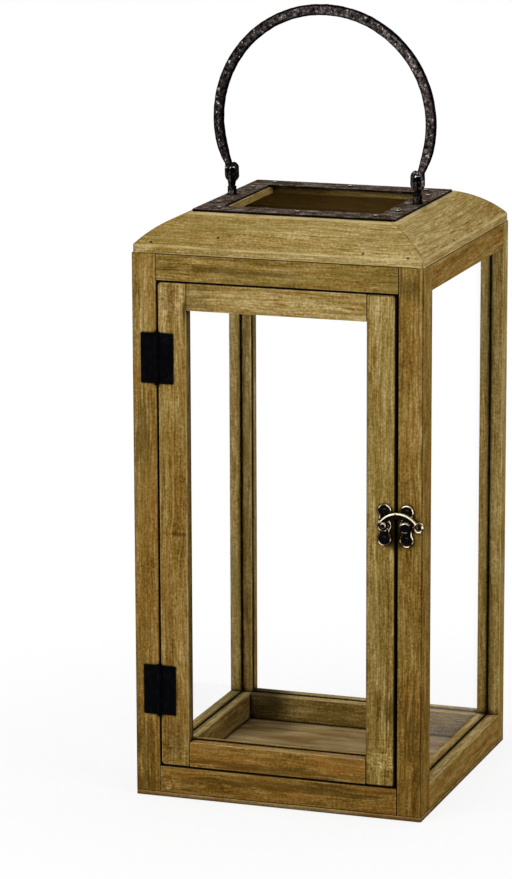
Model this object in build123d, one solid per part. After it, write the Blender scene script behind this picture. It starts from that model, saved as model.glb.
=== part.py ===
"""Hanging lantern: glazed wooden case, mitred moulded roof, iron top plate, swinging bail, latched door.

Millimetres, +Z up, front (the door) towards -Y, hinges at -X, origin at the centre of the base's underside.
"""
import os
from math import asin, cos, degrees, radians, sin

from build123d import *

# Case
case_width = 200.0        # across X, post to post
case_depth = 200.0        # across Y
case_height = 370.0       # base underside to the top of the top rails
base_thick = 3.0
post_width = 17.0         # every post's front face, across X
front_post_depth = 20.0   # a front post's side face, across Y
back_post_depth = 12.0
post_round = 1.3          # rounding of a post's outer corner
rail_thick = 17.0
bottom_rail_height = 18.0
top_rail_height = 17.4
arris = 0.7               # easing of the other wood edges

# Glazing
glass_thick = 2.0
glass_inset = 8.25        # outside of the case to the outside of a fixed pane
glass_fit = 0.15          # play on each side of a pane in its groove
groove_depth = 4.0

# Door
door_thick = 15.0
door_stile = 19.9
door_top_rail = 18.0
door_bottom_rail = 17.0
door_glass_inset = 8.0    # front face of the door to the front of its glass
door_groove = 5.0
door_rear_step = 3.5      # how far a stile's lip behind the glass is stepped back
door_round = 1.2
door_corner = 2.4         # rounding of the door's four corners, seen from the front
hinge_gap = 1.1
latch_gap = 1.5
sill_gap = 1.5
head_gap = 1.3

# Roof mouldings
roof_overhang = 0.1
roof_corner = 5.0         # rounding of the roof's four corners
lip_height = 5.2
lip_round = 0.6
lip_quirk = 0.9           # step from the lip to the start of the curve
crown_half = 70.0         # half width of the flat crown
crown_height = 23.5       # rail tops to the crown
crown_bulge = 2.4         # how far the roof curve stands off its chord
roof_opening_half = 54.5
roof_edge = 5.0           # thickness of the moulding at the opening
cove_top = 15.5           # opening edge to where the underside turns down
cove_bulge = 2.0
roof_bearing = 14.0       # width of the moulding's foot on the rails

# Iron top plate
plate_width = 140.0
plate_depth = 132.0
plate_thick = 1.5
plate_opening_width = 109.0
plate_opening_depth = 93.0
plate_corner = 1.5
nail_spacing = 54.0
nail_count = 3            # along the front strip, and again along the back
side_nail_y = 34.0        # from the middle of a side strip to its two nails
nail_head_radius = 1.9
nail_head_height = 0.8
nail_head_edge = 0.5
nail_shank_radius = 0.8
nail_shank_length = 5.0
hole_fit = 0.05           # radial play of a shank in its hole

# Bail eyes
eye_x = 65.2
eye_height = 9.9          # plate top to the bail's axis, low in the eye's hole
eye_hole_radius = 2.8
eye_hole_rise = 3.0       # bail's axis to the centre of the hole's upper end
eye_ring_width = 2.6      # bar of the ring, seen from the side
eye_ring_thick = 3.0      # bar of the ring, seen from the front
eye_ring_edge = 0.7
eye_stem_radius = 3.1
eye_foot_radius = 3.7
eye_foot_height = 0.8
eye_shank_radius = 2.0
eye_nut_flats = 7.0
eye_nut_height = 3.0

# Bail
bail_radius = 74.3        # of the arch's centre line
bail_rise = 116.7         # bail's axis to the top of the arch's centre line
bail_width = 7.7          # bar, seen from the front
bail_depth = 6.8          # bar, seen from the side
bail_mid_share = 0.88     # of the full bar, half way down the forged taper
bail_neck_radius = 2.6    # end of the forged taper
bail_neck_rise = 11.5     # bail's axis up to the middle of the neck
bail_taper = 11.0         # degrees of the arch over which the bar tapers
loop_bar_radius = 1.7     # bar of the looped end
loop_fit = 0.3            # play between the loop's limbs and the eye
loop_straight = 4.2       # straight part of the loop's limbs
loop_close = 62.0         # degrees that the loop's tip curls over the eye

# Butt hinges
hinge_height = 33.6
hinge_leaf = 11.1         # pin axis to the leaf's outer edge
hinge_thick = 1.2
knuckle_radius = 1.6
knuckle_count = 5
knuckle_play = 0.1
hinge_relief = 0.25       # leaf edge to the other leaf's knuckle
pin_radius = 0.8
pin_fit = 0.05
pin_head_radius = 1.4
pin_head_height = 0.9
hinge_low_inset = 51.8    # door's lower end to the middle of the lower hinge
hinge_high_inset = 50.7   # door's upper end to the middle of the upper hinge
hinge_screw_spread = 23.4
hinge_screw_x = 6.4       # pin axis to the screws
screw_head_radius = 1.9
screw_head_height = 0.7
screw_shank_radius = 1.0
screw_shank_length = 6.0

# Latch
latch_height = 200.0      # base underside to the pivot and the stud
latch_plate_thick = 1.2
latch_lobe_radius = 4.7
latch_lobe_pitch = 9.3
latch_bar_width = 7.0
latch_plate_edge = 0.3
latch_rim = 0.9           # width of the raised rim around a plate
latch_field_depth = 0.4   # rim's face back to the field inside it
latch_inset = 7.0         # door edge to the pivot
keeper_inset = 6.7        # post edge to the stud
latch_screw_head_radius = 1.8
latch_screw_head_height = 0.5
latch_screw_edge = 0.3
hook_thick = 1.6
hook_standoff = 0.6       # plate face to the back of the hook
hook_arch_radius = 15.6
hook_arch_shift = 2.1     # arch's centre, off the middle between pivot and curl
hook_arch_drop = 6.4      # pivot line down to the centre of the hook's outer arc
hook_under_radius = 14.6
hook_under_drop = 9.6     # pivot line down to the centre of its under arc
hook_boss_radius = 3.8
curl_radius = 3.6
curl_hole_radius = 1.8
curl_offset = 8.6         # stud to the thumb curl
rivet_radius = 1.5
rivet_head_radius = 2.4
rivet_head_height = 0.8
rivet_play = 0.1
rivet_depth = 6.0
stud_radius = 3.4
stud_reach = 5.0          # plate face to the stud's end
stud_round = 1.1

half_width = case_width / 2
half_depth = case_depth / 2
bottom_rail_top = base_thick + bottom_rail_height
top_rail_low = case_height - top_rail_height
front_y = -half_depth
plate_low = case_height + crown_height
plate_top = plate_low + plate_thick


def block(x0, x1, y0, y1, z0, z1):
    """Box between two corners, given in any order."""
    centre = Pos((x0 + x1) / 2, (y0 + y1) / 2, (z0 + z1) / 2)
    return centre * Box(abs(x1 - x0), abs(y1 - y0), abs(z1 - z0))


def eased_block(x0, x1, y0, y1, z0, z1, radius=arris):
    """Bar of wood with all its edges eased."""
    bar = block(x0, x1, y0, y1, z0, z1)
    return fillet(bar.edges(), radius)


def front_pin(x, z, y_back, y_front, radius):
    """Round pin along Y between two depths."""
    disc = Plane.XZ.offset(-y_back) * Pos(x, z) * Circle(radius)
    return extrude(disc, abs(y_front - y_back))


def upright_pin(x, y, z0, z1, radius):
    """Round pin along Z between two heights."""
    return Pos(x, y, (z0 + z1) / 2) * Cylinder(radius, abs(z1 - z0))


# Panes: each is a box, and its groove is the same box with the play added
side_pane_out = half_width - glass_inset
side_pane_in = side_pane_out - glass_thick
back_pane_out = half_depth - glass_inset
back_pane_in = back_pane_out - glass_thick
pane_lap = groove_depth - glass_fit
front_post_back = -half_depth + front_post_depth
back_post_front = half_depth - back_post_depth


def pane_box(x0, x1, y0, y1, grow):
    """A fixed pane, or its groove when grown by the play."""
    x0, x1 = sorted((x0, x1))
    z0 = bottom_rail_top - pane_lap
    z1 = top_rail_low + pane_lap
    return block(x0 - grow, x1 + grow, y0 - grow, y1 + grow, z0 - grow, z1 + grow)


def side_pane(side, grow=0.0):
    y_front = front_post_back - pane_lap
    y_back = back_post_front + pane_lap
    return pane_box(side * side_pane_in, side * side_pane_out, y_front, y_back, grow)


def back_pane(grow=0.0):
    reach = half_width - post_width + pane_lap
    return pane_box(-reach, reach, back_pane_in, back_pane_out, grow)


def corner_post(side, end):
    """Post of rectangular section, grooved for the panes that meet it."""
    outer_x = side * half_width
    outer_y = end * half_depth
    inner_x = side * (half_width - post_width)
    inner_y = front_post_back if end < 0 else back_post_front
    corners = [(outer_x, outer_y), (inner_x, outer_y), (inner_x, inner_y), (outer_x, inner_y)]
    section = make_face(Polyline(*corners, close=True))
    for corner, radius in zip(corners, (post_round, arris, arris, arris)):
        vertex = section.vertices().sort_by_distance(Vector(*corner))[0]
        section = fillet(vertex, radius)
    post = extrude(Pos(0, 0, base_thick) * section, case_height - base_thick, dir=(0, 0, 1))
    return post - side_pane(side, glass_fit) - back_pane(glass_fit)


def side_rail(side, z_low, z_high):
    """Side rail, between a front and a back post."""
    x_in = side * (half_width - rail_thick)
    rail = eased_block(side * half_width, x_in, front_post_back, back_post_front, z_low, z_high)
    return rail - side_pane(side, glass_fit)


def end_rail(end, z_low, z_high):
    """Front or back rail, between two posts."""
    reach = half_width - post_width
    rail = eased_block(-reach, reach, end * half_depth, end * (half_depth - rail_thick), z_low, z_high)
    return rail - back_pane(glass_fit)


def base_board():
    board = block(-half_width, half_width, -half_depth, half_depth, 0, base_thick)
    return fillet(board.edges().filter_by(Axis.Z), post_round)


# Door
door_left = -(half_width - post_width) + hinge_gap
door_right = half_width - post_width - latch_gap
door_low = bottom_rail_top + sill_gap
door_high = top_rail_low - head_gap
door_back = front_y + door_thick
light_left = door_left + door_stile
light_right = door_right - door_stile
light_low = door_low + door_bottom_rail
light_high = door_high - door_top_rail


def door_glass(grow=0.0):
    lap = door_groove - glass_fit + grow
    y_front = front_y + door_glass_inset - grow
    y_back = front_y + door_glass_inset + glass_thick + grow
    return block(light_left - lap, light_right + lap, y_front, y_back, light_low - lap, light_high + lap)


def door_stile_bar(outer, inner):
    """Stile from its outer edge to the opening, with the lip behind the glass stepped back."""
    bar = block(outer, inner, front_y, door_back, door_low, door_high)
    outer_edges = bar.edges().filter_by(Axis.Y).sort_by(lambda edge: abs(edge.center().X - outer))[:2]
    bar = fillet(outer_edges, door_corner)
    inner_edges = bar.edges().filter_by(Axis.Y).sort_by(lambda edge: abs(edge.center().X - inner))[:2]
    bar = fillet(bar.faces().filter_by(Axis.Y).edges() + inner_edges, door_round)
    step_end = inner + door_rear_step * (1 if outer > inner else -1)
    in_glass = front_y + door_glass_inset + glass_thick / 2
    bar -= block(inner, step_end, in_glass, door_back, light_low, light_high)
    return bar - door_glass(glass_fit)


def door_rail_bar(z0, z1):
    return eased_block(light_left, light_right, front_y, door_back, z0, z1) - door_glass(glass_fit)


# Roof: one moulding profile, mitred at the four hips
roof_half = half_width + roof_overhang
lip_top = case_height + lip_height


def bulged(start, end, bulge):
    """Arc between two points that stands off its chord, to the left of start to end when positive."""
    run = end[0] - start[0]
    rise = end[1] - start[1]
    length = (run * run + rise * rise) ** 0.5
    middle = ((start[0] + end[0]) / 2 - bulge * rise / length, (start[1] + end[1]) / 2 + bulge * run / length)
    return ThreePointArc(start, middle, end)


def roof_profile():
    """Section of the moulding: first value outwards from the centre, second value up."""
    foot_in = roof_half - roof_bearing
    under = plate_low - roof_edge
    cove_start = (roof_opening_half + cove_top, under)
    lip_in = (roof_half - lip_quirk, lip_top)
    edge = Line((foot_in, case_height), (roof_half - lip_round, case_height))
    edge += RadiusArc((roof_half - lip_round, case_height), (roof_half, case_height + lip_round), -lip_round)
    edge += Polyline((roof_half, case_height + lip_round), (roof_half, lip_top), lip_in)
    edge += bulged(lip_in, (crown_half, plate_low), -crown_bulge)
    edge += Polyline(
        (crown_half, plate_low), (roof_opening_half, plate_low), (roof_opening_half, under), cove_start)
    edge += bulged(cove_start, (foot_in, case_height), cove_bulge)
    return make_face(edge)


def roof_moulding(out_x, out_y):
    """Moulding on the side that faces (out_x, out_y), cut to its 45 degree mitres."""
    across = Plane(origin=(0, 0, 0), x_dir=(out_x, out_y, 0), z_dir=(out_y, -out_x, 0))
    length = extrude(across * roof_profile(), roof_half, both=True)
    reach = 2 * roof_half
    wedge = Polyline(
        (0, 0), (reach * (out_x - out_y), reach * (out_y + out_x)),
        (reach * (out_x + out_y), reach * (out_y - out_x)), close=True)
    mitred = length & extrude(make_face(wedge), 2 * case_height, dir=(0, 0, 1))
    plan = RectangleRounded(2 * roof_half, 2 * roof_half, roof_corner)
    return mitred & extrude(plan, 2 * case_height, dir=(0, 0, 1))


# Top plate and its nails
nail_y = (plate_depth + plate_opening_depth) / 4
side_nail_x = (plate_width + plate_opening_width) / 4
nail_points = [
    ((step - (nail_count - 1) / 2) * nail_spacing, end * nail_y)
    for end in (-1, 1) for step in range(nail_count)]
nail_points += [(side * side_nail_x, end * side_nail_y) for side in (-1, 1) for end in (-1, 1)]


def top_plate():
    outer = RectangleRounded(plate_width, plate_depth, plate_corner)
    ring = outer - RectangleRounded(plate_opening_width, plate_opening_depth, plate_corner)
    plate = extrude(Pos(0, 0, plate_low) * ring, plate_thick)
    for x, y in nail_points:
        plate -= upright_pin(x, y, plate_low, plate_top, nail_shank_radius + hole_fit)
    for side in (-1, 1):
        plate -= upright_pin(side * eye_x, 0, plate_low, plate_top, eye_shank_radius + hole_fit)
    return plate


def nail(x, y):
    head = upright_pin(x, y, plate_top, plate_top + nail_head_height, nail_head_radius)
    head = chamfer(head.edges().group_by(Axis.Z)[-1], nail_head_edge)
    return head + upright_pin(x, y, plate_top - nail_shank_length, plate_top, nail_shank_radius)


# Bail eyes, held by nuts under the crown
eye_z = plate_top + eye_height
crown_under = plate_low - roof_edge
eye_shank_end = crown_under - eye_nut_height


def tall_hole(radius):
    """Outline with round ends, from the bail's axis up."""
    return Pos(0, eye_hole_rise / 2) * SlotCenterToCenter(eye_hole_rise, 2 * radius, rotation=90)


def bail_eye(side):
    """Tall ring on a footed stem, with its shank down through the plate and the crown."""
    ring = tall_hole(eye_hole_radius + eye_ring_width) - tall_hole(eye_hole_radius)
    ring = extrude(Plane.YZ.offset(-eye_ring_thick / 2) * ring, eye_ring_thick)
    ring = chamfer(ring.faces().filter_by(Axis.X).edges(), eye_ring_edge)
    stem = upright_pin(0, 0, -eye_height, -eye_hole_radius - eye_ring_width / 2, eye_stem_radius)
    foot = upright_pin(0, 0, -eye_height, -eye_height + eye_foot_height, eye_foot_radius)
    shank = upright_pin(0, 0, eye_shank_end - eye_z, -eye_height, eye_shank_radius)
    return Pos(side * eye_x, 0, eye_z) * (ring + stem + foot + shank)


def eye_nut(side):
    hexagon = RegularPolygon(eye_nut_flats / 2, 6, major_radius=False) - Circle(eye_shank_radius + hole_fit)
    return extrude(Pos(side * eye_x, 0, eye_shank_end) * hexagon, eye_nut_height)


# Bail: a round arch whose forged ends loop through the eyes from outside
arch_z = eye_z + bail_rise - bail_radius
loop_radius = eye_ring_thick / 2 + loop_fit + loop_bar_radius
limb_x = eye_x + loop_radius
limb_low = eye_z + loop_radius
limb_top = limb_low + loop_straight
neck_angle = -degrees(asin((arch_z - eye_z - bail_neck_rise) / bail_radius))
arch_end = neck_angle + bail_taper


def arch_plane(angle):
    """Plane square to the arch at an angle above the horizontal, with its x axis outwards."""
    out = (cos(radians(angle)), 0, sin(radians(angle)))
    along = (-sin(radians(angle)), 0, cos(radians(angle)))
    origin = (bail_radius * out[0], 0, arch_z + bail_radius * out[2])
    return Plane(origin=origin, x_dir=out, z_dir=along)


def loop_bar(x, z):
    """Section of the loop's bar at the start of a limb."""
    return Pos(x, 0, z) * Circle(loop_bar_radius)


def bail_end():
    """Forged taper and looped end on the +X side."""
    full = arch_plane(arch_end) * Ellipse(bail_width / 2, bail_depth / 2)
    middle = arch_plane((arch_end + neck_angle) / 2)
    middle *= Ellipse(bail_mid_share * bail_width / 2, bail_mid_share * bail_depth / 2)
    neck_plane = arch_plane(neck_angle)
    neck = Vector(*neck_plane.origin)
    end = loft([full, middle, neck_plane * Circle(bail_neck_radius)])
    end += Pos(*neck) * Sphere(bail_neck_radius)
    limb = Vector(limb_x, 0, limb_top)
    shoulder = Plane(origin=neck, z_dir=limb - neck)
    shoulder_end = shoulder.offset((limb - neck).length)
    end += loft([shoulder * Circle(bail_neck_radius), shoulder_end * Circle(loop_bar_radius)])
    end += Pos(*limb) * Sphere(loop_bar_radius)
    end += upright_pin(limb_x, 0, limb_low, limb_top, loop_bar_radius)
    end += revolve(loop_bar(limb_x, limb_low), Axis((eye_x, 0, limb_low), (0, 1, 0)), 180)
    tip_x = eye_x - loop_radius
    end += upright_pin(tip_x, 0, limb_low, limb_top, loop_bar_radius)
    end += revolve(loop_bar(tip_x, limb_top), Axis((eye_x, 0, limb_top), (0, 1, 0)), loop_close)
    curl = radians(loop_close)
    tip = (eye_x - loop_radius * cos(curl), 0, limb_top + loop_radius * sin(curl))
    return end + Pos(*tip) * Sphere(loop_bar_radius)


def bail():
    bar = arch_plane(arch_end) * Ellipse(bail_width / 2, bail_depth / 2)
    arch = revolve(bar, Axis((0, 0, arch_z), (0, -1, 0)), 180 - 2 * arch_end)
    end = bail_end()
    return arch + end + mirror(end, about=Plane.YZ)


# Hinges
hinge_x = -(half_width - post_width) + hinge_gap / 2
hinge_y = front_y - knuckle_radius
knuckle_pitch = hinge_height / knuckle_count
hinge_screw_z = (-hinge_screw_spread / 2, hinge_screw_spread / 2)


def hinge_leaf_plate(side, middle):
    """Leaf towards side (-1 on the post, 1 on the door) with its share of the knuckles."""
    low = middle - hinge_height / 2
    edge = hinge_x + side * (knuckle_radius + hinge_relief)
    leaf_front = front_y - hinge_thick
    leaf = block(hinge_x + side * hinge_leaf, edge, front_y, leaf_front, low, low + hinge_height)
    first = 0 if side < 0 else 1
    for number in range(first, knuckle_count, 2):
        z0 = low + number * knuckle_pitch + knuckle_play / 2
        z1 = low + (number + 1) * knuckle_pitch - knuckle_play / 2
        leaf += block(edge, hinge_x, front_y, leaf_front, z0, z1)
        leaf += upright_pin(hinge_x, hinge_y, z0, z1, knuckle_radius)
    leaf -= upright_pin(hinge_x, hinge_y, low, low + hinge_height, pin_radius + pin_fit)
    for offset in hinge_screw_z:
        leaf -= screw(hinge_x + side * hinge_screw_x, middle + offset, leaf_front, hole_fit)
    return leaf


def hinge_pin(middle):
    reach = hinge_height / 2
    pin = upright_pin(hinge_x, hinge_y, middle - reach, middle + reach, pin_radius)
    for end in (-1, 1):
        start = middle + end * reach
        pin += upright_pin(hinge_x, hinge_y, start, start + end * pin_head_height, pin_head_radius)
    return pin


def screw(x, z, face_y, grow=0.0):
    """Flat-headed screw sunk flush with a face, or its hole when grown."""
    head_back = face_y + screw_head_height
    head = front_pin(x, z, head_back, face_y, screw_head_radius + grow)
    return head + front_pin(x, z, head_back + screw_shank_length + grow, head_back, screw_shank_radius + grow)


hinge_middles = {"lower": door_low + hinge_low_inset, "upper": door_high - hinge_high_inset}


def hinge_screws(side, grow=0.0):
    """The screws of both hinges on one side."""
    leaf_front = front_y - hinge_thick
    x = hinge_x + side * hinge_screw_x
    return [
        screw(x, middle + offset, leaf_front, grow)
        for middle in hinge_middles.values() for offset in hinge_screw_z]


# Latch
pivot_x = door_right - latch_inset
stud_x = half_width - post_width + keeper_inset
latch_face = front_y - latch_plate_thick
latch_field = latch_face + latch_field_depth
hook_back = latch_face - hook_standoff
hook_front = hook_back - hook_thick
latch_screw_z = (latch_height - latch_lobe_pitch, latch_height + latch_lobe_pitch)


def latch_screw(x, z, grow=0.0):
    """Low domed screw in a lobe of a latch plate, or its hole when grown."""
    shank = front_pin(x, z, latch_face + screw_shank_length, latch_field, screw_shank_radius + grow)
    if grow:
        return shank
    head = front_pin(x, z, latch_field, latch_field - latch_screw_head_height, latch_screw_head_radius)
    return shank + chamfer(head.edges().group_by(Axis.Y)[0], latch_screw_edge)


def lobed_outline(inset=0.0):
    """Three lobes joined by a bar."""
    outline = Rectangle(latch_bar_width - 2 * inset, 2 * latch_lobe_pitch)
    for lobe in (-1, 0, 1):
        outline += Pos(0, lobe * latch_lobe_pitch) * Circle(latch_lobe_radius - inset)
    return outline


def latch_plate(x):
    """Lobed plate with a raised rim, bored for two screws and a middle shank."""
    middle = Pos(x, latch_height)
    plate = extrude(Plane.XZ.offset(-front_y) * middle * lobed_outline(), latch_plate_thick)
    plate = chamfer(plate.edges().group_by(Axis.Y)[0], latch_plate_edge)
    plate -= extrude(Plane.XZ.offset(-latch_field) * middle * lobed_outline(latch_rim), latch_field_depth)
    plate -= front_pin(x, latch_height, front_y, latch_face, rivet_radius + hole_fit)
    for z in latch_screw_z:
        plate -= latch_screw(x, z, hole_fit)
    return plate


def latch_hook():
    """Flat crescent that pivots on the door plate, drops over the stud and ends in a thumb curl."""
    centre_x = (pivot_x + stud_x + curl_offset) / 2 - hook_arch_shift
    arch = Pos(centre_x, latch_height - hook_arch_drop) * Circle(hook_arch_radius)
    under = Pos(centre_x, latch_height - hook_under_drop) * Circle(hook_under_radius)
    above = Pos(centre_x, latch_height + hook_arch_radius / 2)
    above *= Rectangle(3 * hook_arch_radius, hook_arch_radius)
    shape = (arch - under) & above
    shape += Pos(pivot_x, latch_height) * Circle(hook_boss_radius)
    shape += Pos(stud_x + curl_offset, latch_height) * Circle(curl_radius)
    shape -= Pos(stud_x + curl_offset, latch_height) * Circle(curl_hole_radius)
    shape -= Pos(pivot_x, latch_height) * Circle(rivet_radius + hole_fit)
    return extrude(Plane.XZ.offset(-hook_back) * shape, hook_thick)


def latch_rivet():
    """Pivot of the hook: a collar behind it, a head in front, a shank into the stile."""
    collar = front_pin(pivot_x, latch_height, latch_field, hook_back + rivet_play, rivet_head_radius)
    head_back = hook_front - rivet_play
    head = front_pin(pivot_x, latch_height, head_back, head_back - rivet_head_height, rivet_head_radius)
    head = fillet(head.edges().group_by(Axis.Y)[0], rivet_head_height / 2)
    return collar + head + front_pin(pivot_x, latch_height, front_y + rivet_depth, head_back, rivet_radius)


def keeper_stud():
    """Round stud that the hook drops over, with its shank in the post."""
    stud = front_pin(stud_x, latch_height, latch_field, latch_face - stud_reach, stud_radius)
    stud = fillet(stud.edges().group_by(Axis.Y)[0], stud_round)
    return stud + front_pin(stud_x, latch_height, front_y + rivet_depth, latch_field, rivet_radius)


def middle_hole(x):
    """Hole in the wood behind a latch plate's middle."""
    return front_pin(x, latch_height, front_y + rivet_depth, front_y, rivet_radius + hole_fit)


def holed(solid, cutters):
    """A piece with its screw holes cut."""
    for cutter in cutters:
        solid -= cutter
    return solid


def build():
    """Every node of the lantern by name."""
    nodes = {"base_board": base_board()}
    ends = {"front": -1, "back": 1}
    sides = {"left": -1, "right": 1}

    for end_name, end in ends.items():
        for side_name, side in sides.items():
            nodes[f"post_{end_name}_{side_name}"] = corner_post(side, end)
    keeper_holes = [latch_screw(stud_x, z, hole_fit) for z in latch_screw_z] + [middle_hole(stud_x)]
    nodes["post_front_left"] = holed(nodes["post_front_left"], hinge_screws(-1, hole_fit))
    nodes["post_front_right"] = holed(nodes["post_front_right"], keeper_holes)

    for level, z_low, z_high in (("bottom", base_thick, bottom_rail_top), ("top", top_rail_low, case_height)):
        for side_name, side in sides.items():
            nodes[f"{level}_rail_{side_name}"] = side_rail(side, z_low, z_high)
        for end_name, end in ends.items():
            nodes[f"{level}_rail_{end_name}"] = end_rail(end, z_low, z_high)

    for side_name, side in sides.items():
        nodes[f"glass_{side_name}"] = side_pane(side)
    nodes["glass_back"] = back_pane()

    latch_holes = [latch_screw(pivot_x, z, hole_fit) for z in latch_screw_z] + [middle_hole(pivot_x)]
    nodes["door_stile_hinge"] = holed(door_stile_bar(door_left, light_left), hinge_screws(1, hole_fit))
    nodes["door_stile_latch"] = holed(door_stile_bar(door_right, light_right), latch_holes)
    nodes["door_rail_bottom"] = door_rail_bar(door_low, light_low)
    nodes["door_rail_top"] = door_rail_bar(light_high, door_high)
    nodes["door_glass"] = door_glass()

    crown_holes = [
        upright_pin(x, y, plate_top - nail_shank_length - hole_fit, plate_top, nail_shank_radius + hole_fit)
        for x, y in nail_points]
    crown_holes += [
        upright_pin(side * eye_x, 0, crown_under, plate_top, eye_shank_radius + hole_fit) for side in (-1, 1)]
    for name, (out_x, out_y) in {"front": (0, -1), "back": (0, 1), "left": (-1, 0), "right": (1, 0)}.items():
        nodes[f"roof_{name}"] = holed(roof_moulding(out_x, out_y), crown_holes)

    nodes["top_plate"] = top_plate()
    nodes["plate_nails"] = Compound(children=[nail(x, y) for x, y in nail_points])
    for side_name, side in sides.items():
        nodes[f"bail_eye_{side_name}"] = bail_eye(side)
    nodes["eye_nuts"] = Compound(children=[eye_nut(side) for side in (-1, 1)])
    nodes["bail"] = bail()

    for level, middle in hinge_middles.items():
        nodes[f"hinge_{level}_post_leaf"] = hinge_leaf_plate(-1, middle)
        nodes[f"hinge_{level}_door_leaf"] = hinge_leaf_plate(1, middle)
        nodes[f"hinge_{level}_pin"] = hinge_pin(middle)
    nodes["hinge_post_screws"] = Compound(children=hinge_screws(-1))
    nodes["hinge_door_screws"] = Compound(children=hinge_screws(1))

    nodes["latch_plate"] = latch_plate(pivot_x)
    nodes["latch_screws"] = Compound(children=[latch_screw(pivot_x, z) for z in latch_screw_z])
    nodes["latch_rivet"] = latch_rivet()
    nodes["latch_hook"] = latch_hook()
    nodes["keeper_plate"] = latch_plate(stud_x)
    nodes["keeper_screws"] = Compound(children=[latch_screw(stud_x, z) for z in latch_screw_z])
    nodes["keeper_stud"] = keeper_stud()
    return nodes


os.makedirs("parts", exist_ok=True)
for node_name, shape in build().items():
    export_step(shape, f"parts/{node_name}.step")
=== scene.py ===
"""Looks of the hanging lantern: stained pine, clear glass, aged iron, a hammered bail, black hinges, a rimmed latch.

Metres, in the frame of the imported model: +Z up, the door faces -Y, the hinges are towards -X. Places and lengths inside
the materials are in millimetres at rest, and strengths are shares from 0 to 1.
"""
import math

import bpy
from mathutils import Matrix, Vector


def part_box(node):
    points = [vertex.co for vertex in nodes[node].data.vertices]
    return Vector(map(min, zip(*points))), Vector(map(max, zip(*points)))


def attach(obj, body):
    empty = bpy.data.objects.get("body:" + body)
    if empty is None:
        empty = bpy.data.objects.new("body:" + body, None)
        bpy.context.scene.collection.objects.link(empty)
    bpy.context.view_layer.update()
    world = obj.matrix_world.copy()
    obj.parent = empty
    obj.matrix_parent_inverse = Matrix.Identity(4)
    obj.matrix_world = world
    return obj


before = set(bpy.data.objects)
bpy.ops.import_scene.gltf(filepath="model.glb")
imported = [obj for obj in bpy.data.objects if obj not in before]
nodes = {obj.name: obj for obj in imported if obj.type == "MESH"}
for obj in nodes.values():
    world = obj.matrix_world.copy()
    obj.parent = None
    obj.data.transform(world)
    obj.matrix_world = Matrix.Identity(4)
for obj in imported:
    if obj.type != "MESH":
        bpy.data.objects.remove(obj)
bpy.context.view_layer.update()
MM = 0.001
AXIS = {"x": 0, "y": 1, "z": 2}
WHITE = (1, 1, 1, 1)

# Camera, solved from the corners of the case
CAMERA_PLACE = (0.83373, -2.52988, 0.82425)
CAMERA_AZIMUTH = 19.231     # degrees, turned to the lantern's right-hand side
CAMERA_TILT = 12.567        # degrees downwards
CAMERA_ROLL = -0.212        # degrees
CAMERA_FOCUS = 4030.88      # pixels
IMAGE_HEIGHT = 879          # pixels, the longer side of the frame
SENSOR = 36.0


def srgb(red, green, blue):
    """Linear colour from the 0 to 255 values seen on a screen."""
    def linear(value):
        value /= 255
        return value / 12.92 if value <= 0.04045 else ((value + 0.055) / 1.055) ** 2.4
    return (linear(red), linear(green), linear(blue), 1.0)


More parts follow.
